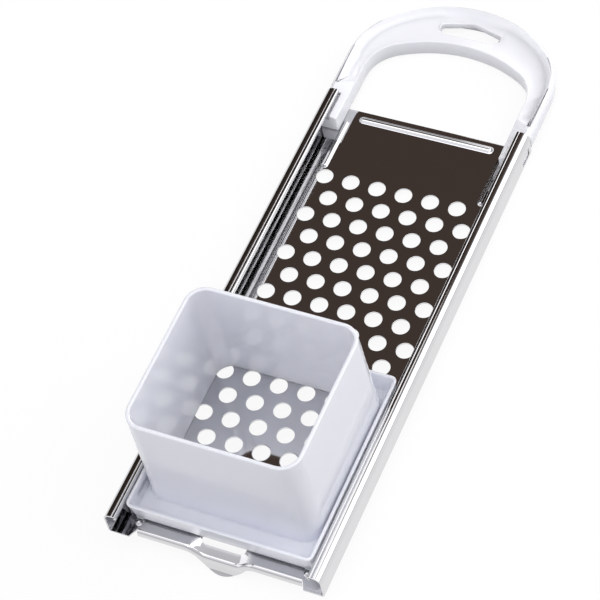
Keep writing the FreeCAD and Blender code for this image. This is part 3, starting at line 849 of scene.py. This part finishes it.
def spread(nodes, links, value, low, high, out_low=0.0, out_high=1.0, kind="LINEAR"):
    step = nodes.new("ShaderNodeMapRange")
    step.interpolation_type = kind
    step.inputs["From Min"].default_value = low
    step.inputs["From Max"].default_value = high
    step.inputs["To Min"].default_value = out_low
    step.inputs["To Max"].default_value = out_high
    links.new(value, step.inputs["Value"])
    return step.outputs["Result"]


def feed(links, socket, value):
    """Links the socket to another one, or sets it to a plain value."""
    if isinstance(value, bpy.types.NodeSocket):
        links.new(value, socket)
    else:
        socket.default_value = value


def blend_colours(nodes, links, share, a, b):
    mix = nodes.new("ShaderNodeMix")
    mix.data_type = "RGBA"
    feed(links, mix.inputs["Factor"], share)
    feed(links, mix.inputs["A"], a)
    feed(links, mix.inputs["B"], b)
    return mix.outputs["Result"]


def calculate(nodes, links, operation, a, b):
    step = nodes.new("ShaderNodeMath")
    step.operation = operation
    feed(links, step.inputs[0], a)
    feed(links, step.inputs[1], b)
    return step.outputs["Value"]


def bump(nodes, links, height, strength, distance, before=None):
    node = nodes.new("ShaderNodeBump")
    node.inputs["Strength"].default_value = strength
    node.inputs["Distance"].default_value = distance
    links.new(height, node.inputs["Height"])
    if before is not None:
        links.new(before, node.inputs["Normal"])
    return node.outputs["Normal"]


def steel_finish(c):
    """Mirror-polished sheet: faint polishing lines, smudges and a slow waviness."""
    material, nodes, links, surface = shader("mirror_steel")
    place = nodes.new("ShaderNodeTexCoord")
    surface.inputs["Metallic"].default_value = 1.0
    smudge = noise(nodes, links, place, scale=38.0, detail=5.0)
    lines = noise(nodes, links, place, scale=900.0, detail=3.0, stretch=(1.0, 0.02, 1.0))
    wave = noise(nodes, links, place, scale=26.0, detail=1.0)
    links.new(spread(nodes, links, smudge, 0.35, 0.75, 0.035, 0.10), surface.inputs["Roughness"])
    smudged = 0.93
    darker = [smudged * value for value in c.steel]
    links.new(blend_colours(nodes, links, smudge, (*c.steel, 1.0), (*darker, 1.0)),
              surface.inputs["Base Color"])
    soft = bump(nodes, links, wave, strength=0.20, distance=0.0004)
    links.new(bump(nodes, links, lines, strength=0.03, distance=0.00002, before=soft),
              surface.inputs["Normal"])
    return material


def plastic_finish(name, tone, translucency):
    """Glossy moulded plastic, slightly translucent, with a faint orange peel."""
    material, nodes, links, surface = shader(name)
    place = nodes.new("ShaderNodeTexCoord")
    cloud = noise(nodes, links, place, scale=22.0, detail=2.0)
    peel = noise(nodes, links, place, scale=420.0, detail=2.0)
    cooler = [value * share for value, share in zip(tone, (0.97, 0.977, 0.99))]
    links.new(blend_colours(nodes, links, cloud, (*tone, 1.0), (*cooler, 1.0)),
              surface.inputs["Base Color"])
    links.new(spread(nodes, links, cloud, 0.3, 0.7, 0.10, 0.17), surface.inputs["Roughness"])
    links.new(bump(nodes, links, peel, strength=0.06, distance=0.00003),
              surface.inputs["Normal"])
    surface.inputs["IOR"].default_value = 1.5
    surface.inputs["Subsurface Weight"].default_value = translucency
    surface.inputs["Subsurface Radius"].default_value = (1.0, 1.0, 1.0)
    surface.inputs["Subsurface Scale"].default_value = 0.005
    return material


# studio
def floor_finish(c):
    """Pale floor that is brighter as it is seen than in the light it sends onto the slicer."""
    material, nodes, links, surface = shader("studio_floor")
    place = nodes.new("ShaderNodeTexCoord")
    grain = noise(nodes, links, place, scale=9.0, detail=3.0)
    paler = [min(1.0, value + 0.02) for value in c.floor]
    toned = blend_colours(nodes, links, grain, (*c.floor, 1.0), (*paler, 1.0))
    surface.inputs["Roughness"].default_value = 0.8
    surface.inputs["Specular IOR Level"].default_value = 0.1
    rays = nodes.new("ShaderNodeLightPath").outputs
    seen = calculate(nodes, links, "MAXIMUM", rays["Is Camera Ray"], rays["Is Glossy Ray"])
    seen = calculate(nodes, links, "MAXIMUM", seen, rays["Is Transmission Ray"])
    links.new(blend_colours(nodes, links, seen, toned, (*c.backdrop, 1.0)),
              surface.inputs["Base Color"])
    own_light = 0.88
    glow = nodes.new("ShaderNodeEmission")
    mix = nodes.new("ShaderNodeMixShader")
    links.new(calculate(nodes, links, "MULTIPLY", seen, own_light), mix.inputs["Fac"])
    links.new(surface.outputs["BSDF"], mix.inputs[1])
    links.new(glow.outputs["Emission"], mix.inputs[2])
    links.new(mix.outputs["Shader"], nodes["Material Output"].inputs["Surface"])
    return material


def build_floor(material):
    """Floor that the slicer rests on, with the tongue and the crown of the bow touching it."""
    contact = 0.0045
    front = Vector((0.0, hook_low.y, hook_low.z))
    back = Vector((0.0, handle_high.y - contact, handle_low.z))
    slope = math.atan2(back.z - front.z, back.y - front.y)
    bm = bmesh.new()
    bmesh.ops.create_grid(bm, x_segments=8, y_segments=8, size=3.0,
                          matrix=Matrix.Translation(front) @ Matrix.Rotation(slope, 4, "X"))
    obj = helper("studio_floor", bm)
    obj.data.materials.append(material)


def add_lamp(name, place, width, height, power):
    """Soft light at the place, turned to the middle of the holes."""
    data = bpy.data.lights.new(name, "AREA")
    data.shape = "RECTANGLE"
    data.size = width
    data.size_y = height
    data.energy = power
    obj = new_object(name, data)
    obj.location = place
    obj.rotation_euler = (-Vector(place)).to_track_quat("-Z", "Y").to_euler()


def lobe(nodes, links, place, direction, wide, narrow):
    """Share of a soft round patch of the surroundings about the direction, in degrees."""
    toward = nodes.new("ShaderNodeVectorMath")
    toward.operation = "DOT_PRODUCT"
    toward.inputs[1].default_value = Vector(direction).normalized()
    links.new(place.outputs["Generated"], toward.inputs[0])
    low, high = (math.cos(math.radians(angle)) for angle in (wide, narrow))
    return spread(nodes, links, toward.outputs["Value"], low, high, kind="SMOOTHSTEP")


def build_world(c):
    """Pale surroundings with dark flags behind the bow, for the polished sheet."""
    world = bpy.data.worlds.new("studio")
    world.use_nodes = True
    nodes = world.node_tree.nodes
    links = world.node_tree.links
    place = nodes.new("ShaderNodeTexCoord")
    split = nodes.new("ShaderNodeSeparateXYZ")
    links.new(place.outputs["Generated"], split.inputs["Vector"])
    height = spread(nodes, links, split.outputs["Z"], 0.0, 1.0)
    tone = blend_colours(nodes, links, height, (*c.horizon, 1.0), (*c.zenith, 1.0))
    # direction, outer and inner angle, colour
    patches = (
        ((-0.345, 0.486, 0.803), 50.0, 22.0, (0.068, 0.048, 0.040)),
        ((-0.80, 0.45, 0.39), 36.0, 18.0, (0.030, 0.022, 0.018)),
        ((-0.345, -0.50, 0.79), 22.0, 10.0, (1.05, 1.05, 1.10)),
    )
    for direction, wide, narrow, tint in patches:
        share = lobe(nodes, links, place, direction, wide, narrow)
        tone = blend_colours(nodes, links, share, tone, (*tint, 1.0))
    links.new(tone, nodes["Background"].inputs["Color"])
    bpy.context.scene.world = world


def build_camera():
    data = bpy.data.cameras.new("studio_camera")
    data.lens = 157.188
    data.sensor_width = 36.0
    data.clip_start = 0.01
    obj = new_object("studio_camera", data)
    right = Vector((0.90691, 0.39338, -0.15088))
    up = Vector((-0.24253, 0.78025, 0.57654))
    back = Vector((0.34452, -0.48628, 0.80302))
    turn = Matrix((right, up, back)).transposed().to_4x4()
    obj.matrix_world = Matrix.Translation((0.40819, -0.58710, 1.00001)) @ turn
    bpy.context.scene.camera = obj


# operators
class SLICER_OT_sheet(bpy.types.Operator):
    """Build the pressed sheet with its holes, rails, lip and tongue"""
    bl_idname = "slicer.sheet"
    bl_label = "Pressed Sheet"

    def execute(self, context):
        build_sheet(context.scene.slicer_sheet, steel_finish(context.scene.slicer_colours))
        return {"FINISHED"}


class SLICER_OT_hopper(bpy.types.Operator):
    """Build the hopper with its box, tray and runners"""
    bl_idname = "slicer.hopper"
    bl_label = "Hopper"

    def execute(self, context):
        plastic = plastic_finish("hopper_plastic", context.scene.slicer_colours.hopper,
                                 translucency=0.6)
        build_hopper(context.scene.slicer_hopper, plastic)
        return {"FINISHED"}


class SLICER_OT_handle(bpy.types.Operator):
    """Build the bow handle with its legs and lugs"""
    bl_idname = "slicer.handle"
    bl_label = "Bow Handle"

    def execute(self, context):
        plastic = plastic_finish("handle_plastic", context.scene.slicer_colours.handle,
                                 translucency=0.55)
        build_handle(context.scene.slicer_handle, plastic)
        return {"FINISHED"}


class SLICER_OT_stage(bpy.types.Operator):
    """Set up the pale floor, the soft lights, the surroundings and the camera"""
    bl_idname = "slicer.stage"
    bl_label = "Studio"

    def execute(self, context):
        colours = context.scene.slicer_colours
        build_floor(floor_finish(colours))
        # name, place, width, height, power
        for lamp in (("key_softbox", (1.2, 0.6, 0.8), 1.3, 1.3, 7.2),
                     ("top_softbox", (0.15, -0.10, 1.3), 1.4, 1.4, 8.2),
                     ("back_softbox", (0.15, 1.25, 0.55), 1.1, 0.9, 4.0),
                     ("fill_softbox", (-1.2, -0.5, 0.7), 1.1, 1.0, 2.2)):
            add_lamp(*lamp)
        build_world(colours)
        build_camera()
        context.scene.view_settings.view_transform = "Standard"
        return {"FINISHED"}


class SLICER_PT_panel(bpy.types.Panel):
    """Sizes, colours and building steps of the dumpling slicer"""
    bl_idname = "SLICER_PT_panel"
    bl_label = "Dumpling Slicer"
    bl_space_type = "VIEW_3D"
    bl_region_type = "UI"
    bl_category = "Dumpling Slicer"

    def draw(self, context):
        scene = context.scene
        for title, group, step in (
                ("Sheet", scene.slicer_sheet, "slicer.sheet"),
                ("Hopper", scene.slicer_hopper, "slicer.hopper"),
                ("Handle", scene.slicer_handle, "slicer.handle"),
                ("Colours and studio", scene.slicer_colours, "slicer.stage")):
            part = self.layout.box()
            part.label(text=title)
            for name in group.__annotations__:
                part.prop(group, name)
            part.operator(step)


settings = {
    "slicer_sheet": SlicerSheetSizes,
    "slicer_hopper": SlicerHopperSizes,
    "slicer_handle": SlicerHandleSizes,
    "slicer_colours": SlicerColours,
}
buttons = (SLICER_OT_sheet, SLICER_OT_hopper, SLICER_OT_handle, SLICER_OT_stage)


def register():
    for name, group in settings.items():
        bpy.utils.register_class(group)
        setattr(bpy.types.Scene, name, PointerProperty(type=group))
    for button in buttons:
        bpy.utils.register_class(button)
    bpy.utils.register_class(SLICER_PT_panel)


def unregister():
    bpy.utils.unregister_class(SLICER_PT_panel)
    for button in reversed(buttons):
        bpy.utils.unregister_class(button)
    for name, group in settings.items():
        delattr(bpy.types.Scene, name)
        bpy.utils.unregister_class(group)


def main():
    register()
    bpy.ops.slicer.sheet()
    bpy.ops.slicer.hopper()
    bpy.ops.slicer.handle()
    bpy.ops.slicer.stage()


if __name__ == "__main__":
    main()
